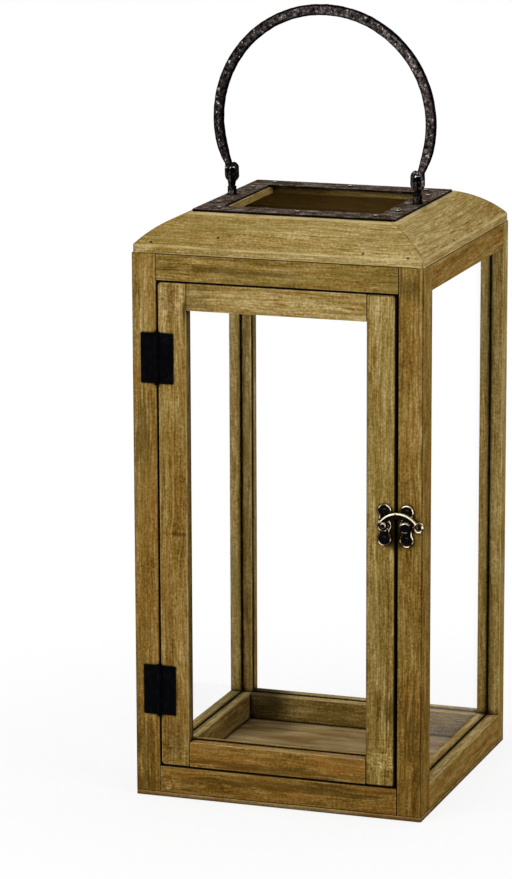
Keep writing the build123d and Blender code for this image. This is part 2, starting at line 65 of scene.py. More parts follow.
class Shader:
    """Adds nodes to one material and links them."""

    def __init__(self, name):
        self.material = bpy.data.materials.new(name)
        self.material.use_nodes = True
        self.tree = self.material.node_tree
        self.tree.nodes.clear()
        self.output = self.tree.nodes.new("ShaderNodeOutputMaterial")
        self.coordinates = self.add("TexCoord").outputs

    def put(self, socket, value):
        if isinstance(value, bpy.types.NodeSocket):
            self.tree.links.new(value, socket)
        else:
            socket.default_value = value

    def add(self, kind, inputs=None, **settings):
        node = self.tree.nodes.new("ShaderNode" + kind)
        for name, value in settings.items():
            setattr(node, name, value)
        for key, value in (inputs or {}).items():
            self.put(node.inputs[key], value)
        return node

    def show(self, shader):
        """Puts a shader node on the surface."""
        self.tree.links.new(shader.outputs[0], self.output.inputs["Surface"])
        return self.material

    # Numbers and vectors
    def math(self, operation, first, second=0.0):
        return self.add("Math", {0: first, 1: second}, operation=operation).outputs[0]

    def total(self, *terms):
        """Sum of (value, weight) pairs, each value taken about its middle of 0.5."""
        result = None
        for value, weight in terms:
            term = self.math("MULTIPLY", self.math("SUBTRACT", value, 0.5), weight)
            result = term if result is None else self.math("ADD", result, term)
        return result

    def vector(self, operation, first, second=(0, 0, 0)):
        node = self.add("VectorMath", {0: first, 1: second}, operation=operation)
        return node.outputs["Value" if operation in ("LENGTH", "DOT_PRODUCT", "DISTANCE") else "Vector"]

    def scaled(self, vector, factor):
        return self.add("VectorMath", {0: vector, "Scale": factor}, operation="SCALE").outputs["Vector"]

    def parts(self, vector):
        return self.add("SeparateXYZ", {0: vector}).outputs

    def level(self, value, low, high, out_low=0.0, out_high=1.0):
        """Value from low to high as out_low to out_high, smoothly, and held at the ends."""
        node = self.add(
            "MapRange", {"Value": value, "From Min": low, "From Max": high, "To Min": out_low, "To Max": out_high},
            interpolation_type="SMOOTHSTEP")
        return node.outputs["Result"]

    # Places and directions
    def place(self):
        """Position at rest in millimetres."""
        return self.scaled(self.coordinates["Object"], 1 / MM)

    def turned(self, place, along):
        """The same position with the named axis first."""
        first = AXIS[along]
        parts = self.parts(place)
        return self.add("CombineXYZ", {i: parts[(first + i) % 3] for i in range(3)}).outputs[0]

    def facing(self, axis):
        """How far the surface looks along an axis, from -1 to 1."""
        return self.parts(self.coordinates["Normal"])[AXIS[axis]]

    def beside(self, place, axis, where):
        """Distance from the plane that is square to an axis at a given place."""
        return self.math("ABSOLUTE", self.math("SUBTRACT", self.parts(place)[AXIS[axis]], where))

    def arrises(self):
        """1 on the eased edges of a squared piece, 0 on its flat faces."""
        normal = self.parts(self.vector("ABSOLUTE", self.coordinates["Normal"]))
        largest = self.math("MAXIMUM", self.math("MAXIMUM", normal[0], normal[1]), normal[2])
        return self.level(largest, 0.99, 0.88)

    def edges(self, radius):
        """1 on an edge of a curved piece, falling to 0 at about radius metres from it."""
        soft = self.add("Bevel", {"Radius": radius}, samples=8).outputs[0]
        true = self.add("NewGeometry").outputs["Normal"]
        return self.level(self.vector("DOT_PRODUCT", soft, true), 0.99, 0.93)

    def hollows(self, distance):
        """1 in the open, falling to 0 deep in a crevice."""
        return self.add("AmbientOcclusion", {"Distance": distance}, samples=8).outputs["AO"]

    # Textures
    def noise(self, place, stretch, detail=3.0, roughness=0.55, colour=False, swirl=0.0):
        """Noise whose features are stretch millimetres long: one length, or one for each axis."""
        lengths = stretch if isinstance(stretch, tuple) else (stretch, stretch, stretch)
        node = self.add("TexNoise", {"Vector": self.vector("DIVIDE", place, lengths), "Scale": 1.0, "Detail": detail,
                                     "Roughness": roughness, "Distortion": swirl})
        return node.outputs["Color" if colour else "Fac"]

    def spots(self, place, stretch, low, high, strength=1.0, detail=1):
        """Strength where noise is above high, falling to 0 where it is below low."""
        return self.level(self.noise(place, stretch, detail), low, high, 0.0, strength)

    def gloss(self, noise, dull, shiny, spread=0.2):
        """Roughness that goes from dull to shiny with the noise, over a spread to both sides of its middle."""
        return self.level(noise, 0.5 - spread, 0.5 + spread, dull, shiny)

    def bump(self, height, distance, strength=1.0):
        return self.add("Bump", {"Height": height, "Distance": distance, "Strength": strength}).outputs[0]

    # Colours
    def mix(self, factor, first, second):
        node = self.add("Mix", data_type="RGBA", clamp_factor=True)
        self.put(node.inputs["Factor"], factor)
        self.put(node.inputs["A"], first)
        self.put(node.inputs["B"], second)
        return node.outputs["Result"]

    def ramp(self, value, colours):
        """Colours spread evenly over 0 to 1."""
        node = self.add("ValToRGB", {0: value})
        stops = node.color_ramp.elements
        stops[0].color, stops[1].color = colours[0], colours[-1]
        for index, colour in enumerate(colours[1:-1], start=1):
            stops.new(index / (len(colours) - 1)).color = colour
        return node.outputs[0]

    def darkened_in_hollows(self, colour, openness, low, high, strength, hollow_colour):
        """Colour mixed with a darker colour by a strength where the openness is below low, and unchanged where it is
        above high.
        """
        return self.mix(self.level(openness, low, high, strength, 0.0), colour, hollow_colour)

    def principled(self, **sockets):
        names = {"colour": "Base Color", "rough": "Roughness", "metal": "Metallic", "normal": "Normal",
                 "specular": "Specular IOR Level"}
        return self.show(self.add("BsdfPrincipled", {names[key]: value for key, value in sockets.items()}))


# Wood: stained pine from dark to pale, with rubbed edges and dark joints
STAIN = [srgb(48, 33, 6), srgb(94, 70, 24), srgb(133, 107, 52), srgb(161, 140, 88), srgb(202, 182, 132)]
RUSSET = srgb(128, 82, 28)
OLIVE = srgb(112, 100, 46)
PALE_WEAR_AND_HIGHLIGHT = srgb(206, 188, 138)
CREVICE = srgb(20, 13, 3)
ROOF_SHADE = srgb(70, 51, 20)
BLACKENED = srgb(62, 47, 13)
LIGHTER_WITH_HEIGHT = 0.0004      # of the stain's range, per millimetre: painted light, paler higher up
CASE_MIDDLE = 200.0
UP_FACE_LIGHT = 0.3                 # how much paler a face is that looks up: painted light
CURL_FADE = 0.05                  # how much paler a curly patch is
MATT = 0.0                        # specular level of surfaces with no gloss

# Features of the grain: lengths along it and across it
BANDS = (70, 7, 7)
STREAKS = (95, 1.7, 1.7)
FIBRES = (18, 1.1, 1.1)
BLOTCHES = (13, 6, 6)
CRACKS = (30, 0.8, 0.8)
FLECKS = (3, 1.1, 1.1)
WARM_PATCHES = (45, 9, 9)
COOL_PATCHES = (60, 10, 10)
PATCH_RUNS = (16, 5, 5)
CURLS = (7, 7, 4)
GRIT = 1.7
SPECKS = 1.4
CRACK_DEPTH = 0.5

# Steps through the noise that keep pieces and patterns unlike each other
SEED_STEP = (137.0, 41.0, 67.0)
WARM_SHIFT = (500, 90, 20)
COOL_SHIFT = (20, 70, 300)
FLECK_SHIFT = (90, 30, 60)
SPECK_SHIFT = (11, 37, 23)

# Bends of the grain: lengths of the noise that bends it, and how far it goes aside
SLOW_BEND = (170, 40, 40)
SWAY = 11.0
QUICK_BEND = (38, 12, 12)
WOBBLE = 2.0

# Knots, in radii across the grain
KNOT_LENGTH = 2.4                 # along the grain
KNOT_REACH = 1.7                  # how far out the grain is drawn aside
KNOT_PULL = 0.8
KNOT_RINGS = 2.6                  # rings per radius
RING_DEPTH = 0.3

# Roof
ROOF_LINES = (370.5, 375.1, 393.3)    # heights of the lip's two edges and the crown's edge, where highlights are painted as pale lines
PALE_CORNER = (100, -100, 380)    # the roof is palest towards this corner
PALE_NEAR, PALE_FAR = 30, 210
PALE_SHIFT = 0.07
MITRE_WANDER = 2.5


def around_knots(s, place, knots):
    """Grain position drawn aside around each knot, and the knots' own rings."""
    rings = None
    for *centre, radius in knots:
        away = s.vector("SUBTRACT", place, centre)
        distance = s.vector("LENGTH", s.vector("DIVIDE", away, (KNOT_LENGTH * radius, radius, radius)))
        near = s.level(distance, KNOT_REACH, 0.0)
        place = s.vector("SUBTRACT", place, s.scaled(s.vector("MULTIPLY", away, (0, KNOT_PULL, KNOT_PULL)), near))
        ring = s.math("MULTIPLY", s.math("PINGPONG", s.math("MULTIPLY", distance, KNOT_RINGS), 0.5), near)
        rings = ring if rings is None else s.math("ADD", rings, ring)
    return place, rings


def bent(s, along, stretch, sideways):
    """Position pushed across the grain by slow noise."""
    push = s.vector("SUBTRACT", s.noise(along, stretch, 2, colour=True), (0.5, 0.5, 0.5))
    return s.vector("ADD", along, s.vector("MULTIPLY", push, (0, sideways, sideways)))


class Grain:
    """Grain of one piece: the position along and across it, its figure, its cracks and the rings of its knots."""

    def __init__(self, s, rest, axis, seed, knots):
        along, self.rings = around_knots(s, s.turned(rest, axis), knots)
        along = s.vector("ADD", along, tuple(step * seed for step in SEED_STEP))
        self.along = bent(s, bent(s, along, SLOW_BEND, SWAY), QUICK_BEND, WOBBLE)
        self.bands = s.noise(self.along, BANDS, 2)
        self.streaks = s.noise(self.along, STREAKS, 3, 0.62)
        self.fibres = s.noise(self.along, FIBRES, 2, 0.6, swirl=0.7)
        self.blotches = s.noise(self.along, BLOTCHES, 3)
        self.cracks = s.math("MULTIPLY", s.spots(self.along, CRACKS, 0.66, 0.76), CRACK_DEPTH)


def curled(s, shade, rest, curls):
    """Shade with a paler, curly figure in round patches: centre and radius of each."""
    if not curls:
        return shade
    curl = s.math("ADD", s.total((s.noise(rest, CURLS, 2, swirl=2.2), 1.3)), CURL_FADE)
    for *centre, radius in curls:
        near = s.level(s.vector("DISTANCE", rest, centre), radius, 0.6 * radius)
        shade = s.math("ADD", shade, s.math("MULTIPLY", near, curl))
    return shade


def stained(s, rest, grain, tone, figure, curls, roof):
    """Stain that follows the grain, paler in curls and towards one roof corner; painted light makes it paler higher
    up and on upward faces off the roof.
    """
    shade = s.total((grain.bands, 0.7 * figure), (grain.streaks, 0.9 * figure), (grain.blotches, 0.55 * figure),
                    (grain.fibres, 0.95), (s.noise(rest, GRIT, 2), 0.8))
    height = s.math("SUBTRACT", s.parts(rest)[2], CASE_MIDDLE)
    # Painted light: paler higher up.
    shade = s.math("ADD", shade, s.math("MULTIPLY", height, LIGHTER_WITH_HEIGHT))
    if grain.rings is not None:
        shade = s.math("SUBTRACT", shade, s.math("MULTIPLY", grain.rings, RING_DEPTH))
    shade = curled(s, shade, rest, curls)
    if roof:
        paling = s.level(s.vector("DISTANCE", rest, PALE_CORNER), PALE_NEAR, PALE_FAR, PALE_SHIFT, -PALE_SHIFT)
    else:
        # Painted light: paler on faces that look up.
        paling = s.level(s.facing("z"), 0.6, 0.95, 0.0, UP_FACE_LIGHT)
    return s.ramp(s.math("ADD", s.math("ADD", shade, paling), tone), STAIN)


def tinted(s, colour, along, russet, olive):
    """Russet and olive in long patches, each by its own share."""
    warm = s.noise(s.vector("ADD", along, WARM_SHIFT), WARM_PATCHES, 2)
    colour = s.mix(s.level(warm, 0.36, 0.7, 0.3 * russet, 0.8 * russet), colour, RUSSET)
    cool = s.noise(s.vector("ADD", along, COOL_SHIFT), COOL_PATCHES, 2)
    return s.mix(s.level(cool, 0.4, 0.66, 0.1 * olive, olive), colour, OLIVE)


def flawed(s, colour, rest, grain):
    """Fine cracks, pale flecks and dark specks."""
    colour = s.mix(grain.cracks, colour, CREVICE)
    flecks = s.spots(s.vector("ADD", grain.along, FLECK_SHIFT), FLECKS, 0.67, 0.77, 0.22)
    specks = s.spots(s.vector("ADD", rest, SPECK_SHIFT), SPECKS, 0.67, 0.77, 0.5)
    return s.mix(specks, s.mix(flecks, colour, PALE_WEAR_AND_HIGHLIGHT), CREVICE)


def blackened(s, colour, rest, grain, stains):
    """Darker in soft patches with ragged edges: centre, half-lengths and strength of each."""
    ragged = s.total((grain.streaks, 2.2), (grain.blotches, 1.4))
    for centre, reach, strength in stains:
        away = s.vector("LENGTH", s.vector("DIVIDE", s.vector("SUBTRACT", rest, centre), reach))
        colour = s.mix(s.level(s.math("ADD", away, ragged), 1.2, 0.4, 0.0, strength), colour, BLACKENED)
    return colour


def rubbed_edges(s, colour, rest, open_air, patchiness, worn, dark_arris):
    """Paler or darker by a share on the eased edges that stand free, dark in the fine joints between pieces."""
    joint = s.hollows(1.5 * MM)
    broken = s.level(s.noise(rest, 4, 2), 0.38, 0.6, 0.3, 1.0)
    arrises = s.arrises()
    free = s.math("MULTIPLY", s.math("MULTIPLY", arrises, patchiness), s.level(open_air, 0.8, 0.96))
    colour = s.mix(s.math("MULTIPLY", free, s.level(joint, 0.75, 0.97, 0.0, worn)), colour, PALE_WEAR_AND_HIGHLIGHT)
    colour = s.mix(s.math("MULTIPLY", arrises, dark_arris), colour, CREVICE)
    return s.mix(s.math("MULTIPLY", s.level(joint, 0.5, 0.9, 0.85, 0.0), broken), colour, CREVICE)


def roof_finish(s, colour, rest, patchiness, mouth_shade):
    """Painted highlights as pale lines along the lip and the crown, dark mitres, painted shade underneath and by a
    share in the mouth.
    """
    # Painted highlights: pale lines along the edges of the lip and the crown.
    for height in ROOF_LINES:
        pale = s.level(s.beside(rest, "z", height), 0.8, 0.3, 0.0, 0.5)
        colour = s.mix(s.math("MULTIPLY", pale, patchiness), colour, PALE_WEAR_AND_HIGHLIGHT)
    x, y, _ = s.parts(rest)
    off_mitre = s.math("SUBTRACT", s.math("ABSOLUTE", x), s.math("ABSOLUTE", y))
    off_mitre = s.math("ABSOLUTE", s.math("ADD", off_mitre, s.total((s.noise(rest, 5, 2), MITRE_WANDER))))
    colour = s.mix(s.math("MULTIPLY", s.level(off_mitre, 1.1, 0.2, 0.0, 0.55), patchiness), colour, CREVICE)
    # Painted shade on faces that look down, and by a share on faces in the mouth.
    colour = s.mix(s.level(s.facing("z"), -0.02, -0.12, 0.0, 0.9), colour, ROOF_SHADE)
    inward = s.vector("DOT_PRODUCT", s.coordinates["Normal"], s.vector("MULTIPLY", rest, (1, 1, 0)))
    return s.mix(s.level(inward, -20, -45, 0.0, mouth_shade), colour, ROOF_SHADE)


def lined(s, colour, rest, lines):
    """Dark lines square to one axis: axis, place, half-width and strength of each."""
    for axis, place, width, strength in lines:
        dark = s.level(s.beside(rest, axis, place), width, 0.5 * width, 0.0, strength)
        colour = s.mix(dark, colour, CREVICE)
    return colour


def marked(s, colour, rest, marks):
    """Dark round marks: centre, radius and strength of each."""
    for *centre, radius, strength in marks:
        dark = s.level(s.vector("DISTANCE", rest, centre), radius, 0.4 * radius, 0.0, strength)
        colour = s.mix(dark, colour, CREVICE)
    return colour


def wood(name, seed, grain, tone, russet, olive, figure=0.8, worn=0.35, dark_arris=0.0, knots=(), curls=(), stains=(),
         lines=(), marks=(), mouth_shade=None):
    """Stained wood: grain axis, tone from 0 dark to 1 pale, shares of russet, olive, figure, worn and darkened edges.

    The knots' places have the grain axis first. A piece with a share of painted shade in its mouth is one of the
    roof's.
    """
    s = Shader(name)
    rest = s.place()
    roof = mouth_shade is not None
    pine = Grain(s, rest, grain, seed, knots)
    colour = stained(s, rest, pine, tone, figure, curls, roof)
    colour = tinted(s, colour, pine.along, russet, olive)
    colour = flawed(s, colour, rest, pine)
    colour = blackened(s, colour, rest, pine, stains)
    open_air = s.hollows(5 * MM)
    patchiness = s.level(s.noise(pine.along, PATCH_RUNS, 3), 0.34, 0.6, 0.3, 1.0)
    if not roof:
        colour = rubbed_edges(s, colour, rest, open_air, patchiness, worn, dark_arris)
    # Painted shade: darker in corners, recesses and gaps, where shade falls.
    colour = s.darkened_in_hollows(colour, open_air, 0.4, 0.85, 0.9, CREVICE)
    if roof:
        colour = roof_finish(s, colour, rest, patchiness, mouth_shade)
    colour = marked(s, lined(s, colour, rest, lines), rest, marks)
    relief = s.math("SUBTRACT", s.total((pine.streaks, 1.0), (pine.fibres, 0.7)), pine.cracks)
    return s.principled(colour=colour, rough=s.gloss(pine.streaks, 0.7, 0.56), specular=MATT,
                        normal=s.bump(relief, 0.25 * MM, 0.6))


# Metals
SHEET_IRON = [srgb(14, 9, 5), srgb(46, 35, 24), srgb(78, 65, 54), srgb(134, 122, 113)]
SHEET_RUST = srgb(58, 40, 18)
SHEET_BRIGHT = srgb(196, 187, 178)
SHEET_DARK = srgb(9, 6, 5)
NAIL_DARK = srgb(16, 12, 10)
NAIL_HIGHLIGHT = srgb(202, 192, 182)
FORGED_IRON = [srgb(8, 6, 7), srgb(36, 31, 31), srgb(76, 68, 68), srgb(134, 124, 121)]
FORGED_RUST = srgb(70, 46, 34)
FORGED_BRIGHT = srgb(206, 196, 186)
FORGED_EDGE = srgb(3, 2, 3)
IRON_SHADE = srgb(4, 3, 3)
SHADE_START, SHADE_FULL = 10, -65       # places on X where the painted shade on the left begins and is full
BLACK_PAINT = srgb(1, 1, 2)
BLACK_PAINT_HAZE = srgb(5, 6, 8)
BLACK_PAINT_WORN = srgb(60, 56, 52)
BRONZE_DARK = srgb(3, 3, 5)
BRONZE = srgb(18, 14, 10)
BRONZE_HIGHLIGHT = srgb(226, 212, 178)
BRASS_DULL = srgb(58, 42, 25)
BRASS_BRIGHT = srgb(238, 224, 192)
BRASS_GRIME = srgb(24, 17, 9)
PANE_IOR = 1.05


def sheet_iron(name):
    """Aged sheet iron: mauve brown, mottled and pitted, near black on its cut edges, with bright specks and painted
    shade in its hollows.
    """
    s = Shader(name)
    place = s.place()
    mottle = s.noise(place, (9, 6, 6), 4, 0.65)
    grains = s.noise(place, (1.6, 1.3, 1.3), 2)
    colour = s.ramp(s.math("ADD", s.total((mottle, 2.2), (grains, 1.7)), 0.56), SHEET_IRON)
    colour = s.mix(s.spots(place, (14, 7, 7), 0.5, 0.66, 0.5, detail=3), colour, SHEET_RUST)
    colour = s.mix(s.spots(place, (3.2, 1.6, 1.6), 0.68, 0.76, 0.8), colour, SHEET_BRIGHT)
    colour = s.mix(s.level(s.facing("z"), 0.9, 0.3, 0.0, 0.9), colour, SHEET_DARK)
    # Painted shade in the hollows, round the nails and the eyes.
    colour = s.darkened_in_hollows(colour, s.hollows(4 * MM), 0.5, 0.95, 0.85, SHEET_DARK)
    return s.principled(colour=colour, rough=s.gloss(mottle, 0.7, 0.5, 0.15), metal=0.1, specular=MATT,
                        normal=s.bump(grains, 0.2 * MM, 0.5))


def worn_highlit_nails(name):
    """Nail heads, black round the edge, with a painted highlight on top broken by patches of wear."""
    s = Shader(name)
    wear = s.noise(s.place(), 2, 2)
    # Painted highlight on the tops, broken by patches of wear.
    wear_and_highlight = s.math("MULTIPLY", s.level(s.facing("z"), 0.8, 0.97), s.level(wear, 0.36, 0.58, 0.15, 1.0))
    colour = s.mix(wear_and_highlight, NAIL_DARK, NAIL_HIGHLIGHT)
    return s.principled(colour=colour, rough=s.gloss(wear, 0.6, 0.42), metal=0.3, specular=0.1,
                        normal=s.bump(wear, 0.1 * MM, 0.4))


def forged_iron(name, tone, sparkle, shaded_left=0.0):
    """Blackened iron from the hammer: edges in painted shade, mottled grey and rusty front and back, some painted
    highlights.

    Painted shade makes it darker by a share towards the lantern's left-hand side, and darker in its hollows.
    """
    s = Shader(name)
    place = s.place()
    scale = s.noise(place, 2.6, 4, 0.6)
    fine = s.noise(place, 0.9, 2)
    colour = s.ramp(s.math("ADD", s.total((scale, 2.7), (fine, 1.5)), tone), FORGED_IRON)
    colour = s.mix(s.spots(place, 5, 0.56, 0.68, 0.4, detail=2), colour, FORGED_RUST)
    # Painted shade, darker towards the left-hand side.
    colour = s.mix(s.level(s.parts(place)[0], SHADE_START, SHADE_FULL, 0.0, shaded_left), colour, IRON_SHADE)
    # Painted highlights: bright spots on the hammered high points.
    colour = s.mix(s.spots(place, (1.9, 1.9, 2.8), 0.67, 0.74, sparkle), colour, FORGED_BRIGHT)
    flat = s.math("ABSOLUTE", s.facing("y"))
    # Painted shade on the faces that look neither front nor back.
    colour = s.mix(s.level(flat, 0.88, 0.68, 0.0, 0.96), colour, FORGED_EDGE)
    # Painted shade in the hollows.
    colour = s.darkened_in_hollows(colour, s.hollows(3 * MM), 0.45, 0.9, 0.85, IRON_SHADE)
    return s.principled(colour=colour, rough=s.gloss(scale, 0.6, 0.42, 0.15), metal=0.05, specular=MATT,
                        normal=s.bump(fine, 0.15 * MM, 0.5))


def black_paint(name):
    """Satin black, a little worn to grey on the edges."""
    s = Shader(name)
    place = s.place()
    haze = s.noise(place, (3, 3, 5), 3)
    colour = s.mix(s.level(haze, 0.4, 0.75), BLACK_PAINT, BLACK_PAINT_HAZE)
    worn = s.math("MULTIPLY", s.edges(0.5 * MM), s.spots(place, 4, 0.5, 0.65, 0.15, detail=2))
    colour = s.mix(worn, colour, BLACK_PAINT_WORN)
    return s.principled(colour=colour, rough=s.gloss(haze, 0.62, 0.5), specular=0.02,
                        normal=s.bump(haze, 0.05 * MM, 0.3))


def dark_bronze(name, top_highlight):
    """Blackened bronze, with a share of brass as a painted highlight where it faces up."""
    s = Shader(name)
    patina = s.noise(s.place(), 2, 3)
    colour = s.mix(s.level(patina, 0.4, 0.72), BRONZE_DARK, BRONZE)
    # Painted highlight: brass on the faces that look up.
    highlit_and_rubbed = s.level(s.facing("z"), 0.4, 0.8, 0.0, top_highlight)
    colour = s.mix(highlit_and_rubbed, colour, BRONZE_HIGHLIGHT)
    return s.principled(colour=colour, rough=s.gloss(patina, 0.5, 0.36), metal=highlit_and_rubbed, specular=0.02,
                        normal=s.bump(patina, 0.1 * MM, 0.4))


def patchy_brass(name, share):
    """Brass rims, bright in worn patches over a given share of their length and dark between, a little brighter
    facing up as painted highlight.
    """
    s = Shader(name)
    patches = s.noise(s.place(), 3.2, 2)
    # Painted highlight: a little brighter on faces that look up.
    wear_and_highlight = s.math("ADD", patches, s.math("MULTIPLY", s.facing("z"), 0.1))
    wear_and_highlight = s.level(wear_and_highlight, 0.7 - 0.5 * share, 0.85 - 0.5 * share)
    colour = s.mix(wear_and_highlight, BRASS_DULL, BRASS_BRIGHT)
    colour = s.darkened_in_hollows(colour, s.hollows(1.2 * MM), 0.35, 0.8, 0.7, BRASS_GRIME)
    return s.principled(colour=colour, rough=s.gloss(patches, 0.42, 0.26), metal=1.0,
                        normal=s.bump(patches, 0.05 * MM, 0.3))


def clear_glass(name):
    """Thin clear pane: reflects by its angle, and lets the light through to what is behind it."""
    s = Shader(name)
    pane = s.add("BsdfPrincipled", {"Base Color": WHITE, "Roughness": 0.0, "IOR": PANE_IOR,
                                    "Transmission Weight": 1.0})
    through = s.add("BsdfTransparent", {"Color": WHITE})
    path = s.add("LightPath")
    passing = s.math("MAXIMUM", path.outputs["Is Shadow Ray"], path.outputs["Is Diffuse Ray"])
    return s.show(s.add("MixShader", {0: passing, 1: pane.outputs[0], 2: through.outputs[0]}))


def dress(names, material):
    """Gives CAD nodes a material in place of their packed one."""
    for name in names:
        mesh = nodes[name].data
        mesh.materials.clear()
        mesh.materials.append(material)


# Looks of each wooden piece
FRONT = -100                            # the case's front face, on Y
LATCH_X, KEEPER_X = 74.5, 89.7          # middles of the two latch plates
LATCH_HEIGHT = 200
LOBE_STEP = 9.3                         # from lobe to lobe of a latch plate
LATCH_LOBE_SHADE = (7.5, 0.75)               # radius and strength of the painted shade round each lobe
# Painted shadow under the latch hook, between the two plates
HOOK_SHADOW = [(82, FRONT, 197, 12, 0.9), (82, FRONT, 190, 10, 0.85)]
NAIL_HOLE = (1.3, 0.9)                  # radius and strength
BASE_JOINT = ("z", 3.0, 0.7, 0.75)
PANE_EDGE = ("y", -92.0, 1.3, 0.92)     # painted shade on the wood along the front of the door's glass


def nail_holes(*places):
    """Dark marks of punched nails."""
    return [(*place, *NAIL_HOLE) for place in places]


def shade_round_latch(plate_x):
    """Painted shade in the wood round a latch plate, and a painted shadow under the hook."""
    heights = (LATCH_HEIGHT - LOBE_STEP, LATCH_HEIGHT, LATCH_HEIGHT + LOBE_STEP)
    return [(plate_x, FRONT, height, *LATCH_LOBE_SHADE) for height in heights] + HOOK_SHADOW


def front_stain(x, z, half_width, half_height, strength, depth=8):
    """Stain on the front of the case or the door."""
    return ((x, FRONT, z), (half_width, depth, half_height), strength)


WOOD = {
    "base_board": dict(
        grain="x", tone=0.88, russet=1.0, olive=0.0, figure=0.2, marks=[(-78, 80, 3, 50, 0.6)],
        lines=[("z", 0.5, 2.6, 0.4)], stains=[((0, 0, 3.4), (130, 130, 1.8), 0.35)]),
    "post_front_left": dict(
        grain="z", tone=0.44, russet=0.5, olive=0.2, worn=0.0, dark_arris=0.4, lines=[BASE_JOINT], stains=[
            front_stain(-94, 251, 7, 28, 0.5), front_stain(-93, 34, 8, 20, 0.45), front_stain(-93, 8, 10, 12, 0.5)]),
    # Painted shade: the dark line at x 83 widens the shade of the latch-side gap.
    "post_front_right": dict(
        grain="z", tone=0.40, russet=0.35, olive=0.2, worn=0.0, dark_arris=0.5, lines=[BASE_JOINT, ("x", 83, 0.8, 0.9)],
        marks=shade_round_latch(KEEPER_X), stains=[
            front_stain(88, 358, 10, 9, 0.5), front_stain(94, 61, 7, 26, 0.5), ((98, -88, 62), (8, 8, 30), 0.4)]),
    "post_back_left": dict(
        grain="z", tone=0.59, russet=0.0, olive=0.55, stains=[((-86, 88, 190), (4.5, 8, 600), 0.4)]),
    "post_back_right": dict(grain="z", tone=0.61, russet=0.15, olive=0.3, lines=[BASE_JOINT]),
    "bottom_rail_left": dict(grain="y", tone=0.52, russet=0.1, olive=0.3, marks=[(-83, 70, 12, 60, 0.35)]),
    "bottom_rail_right": dict(grain="y", tone=0.55, russet=0.45, olive=0.1, lines=[BASE_JOINT]),
    "bottom_rail_front": dict(
        grain="x", tone=0.40, russet=0.65, olive=0.1, lines=[BASE_JOINT], knots=[(-47, FRONT, 10, 6)],
        curls=[(-79, FRONT, 10, 10)], stains=[front_stain(15, 15, 75, 4, 0.5)]),
    "bottom_rail_back": dict(grain="x", tone=0.56, russet=0.15, olive=0.3, marks=[(-82, 83, 15, 40, 0.85)]),
    "top_rail_left": dict(grain="y", tone=0.42, russet=0.2, olive=0.3),
    "top_rail_right": dict(grain="y", tone=0.40, russet=0.6, olive=0.0),
    "top_rail_front": dict(
        grain="x", tone=0.40, russet=0.15, olive=0.4, knots=[(80, FRONT, 352, 9)],
        stains=[front_stain(-30, 360.5, 62, 3.0, 0.5)]),
    "top_rail_back": dict(grain="x", tone=0.42, russet=0.2, olive=0.3),
    "door_stile_hinge": dict(
        grain="z", tone=0.48, russet=0.4, olive=0.15, worn=0.5, knots=[(182, -70, FRONT, 5)],
        lines=[PANE_EDGE, ("x", -62.2, 0.5, 0.45)], curls=[(-73, FRONT, 341, 15), (-74, FRONT, 36, 15)], stains=[
            front_stain(-63, 333, 2.2, 6, 0.95, depth=6), front_stain(-70, 182.5, 7, 1.5, 0.8, depth=6),
            front_stain(-73, 338, 10, 14, 0.3, depth=6), front_stain(-73, 40, 10, 14, 0.35, depth=6)]),
    # Painted shade: the dark line at x 81.5 widens the shade of the latch-side gap.
    "door_stile_latch": dict(
        grain="z", tone=0.54, russet=0.05, olive=0.3, worn=0.1, dark_arris=0.45, curls=[(72, FRONT, 37, 16)],
        lines=[PANE_EDGE, ("z", 54, 0.6, 0.25), ("x", 81.5, 1.1, 0.9)], marks=shade_round_latch(LATCH_X), stains=[
            front_stain(64, 297, 1.5, 5, 0.45, depth=6), front_stain(77, 73, 6, 18, 0.6, depth=6),
            front_stain(72, 110, 9, 50, 0.25, depth=6)]),
    "door_rail_top": dict(
        grain="x", tone=0.60, russet=0.2, olive=0.1, lines=[PANE_EDGE], stains=[front_stain(-58, 340, 14, 12, 0.35)]),
    "door_rail_bottom": dict(
        grain="x", tone=0.50, russet=0.8, olive=0.0, lines=[PANE_EDGE], stains=[front_stain(0, 25.5, 75, 3, 0.55)]),
    "roof_front": dict(
        grain="x", tone=0.555, russet=0.1, olive=0.3, figure=0.5, mouth_shade=0.85,
        marks=nail_holes((-87, -97.4, 377.2), (-42.2, -92.5, 381.7), (88.9, -98.4, 376), (58.3, -97.2, 377.2))),
    # The dark mark at the left of its mouth is painted shade.
    "roof_back": dict(
        grain="x", tone=0.56, russet=0.15, olive=0.3, figure=0.5, mouth_shade=0.3, marks=[(-46, 46, 390, 45, 0.6)]
        + nail_holes((-84, 97.4, 377.2), (0, 97.4, 377.2), (86, 97.4, 377.2))),
    "roof_left": dict(
        grain="y", tone=0.56, russet=0.15, olive=0.3, figure=0.5, mouth_shade=0.0,
        marks=nail_holes((-98, -60, 376.5), (-98, 62, 376.5))),
    "roof_right": dict(
        grain="y", tone=0.60, russet=0.1, olive=0.3, figure=0.5, mouth_shade=0.85,
        marks=nail_holes((98, -25.9, 376.5), (98.5, 15, 376))),
}
for seed, (node_name, looks) in enumerate(WOOD.items(), start=1):
    dress([node_name], wood("wood_" + node_name, seed, **looks))

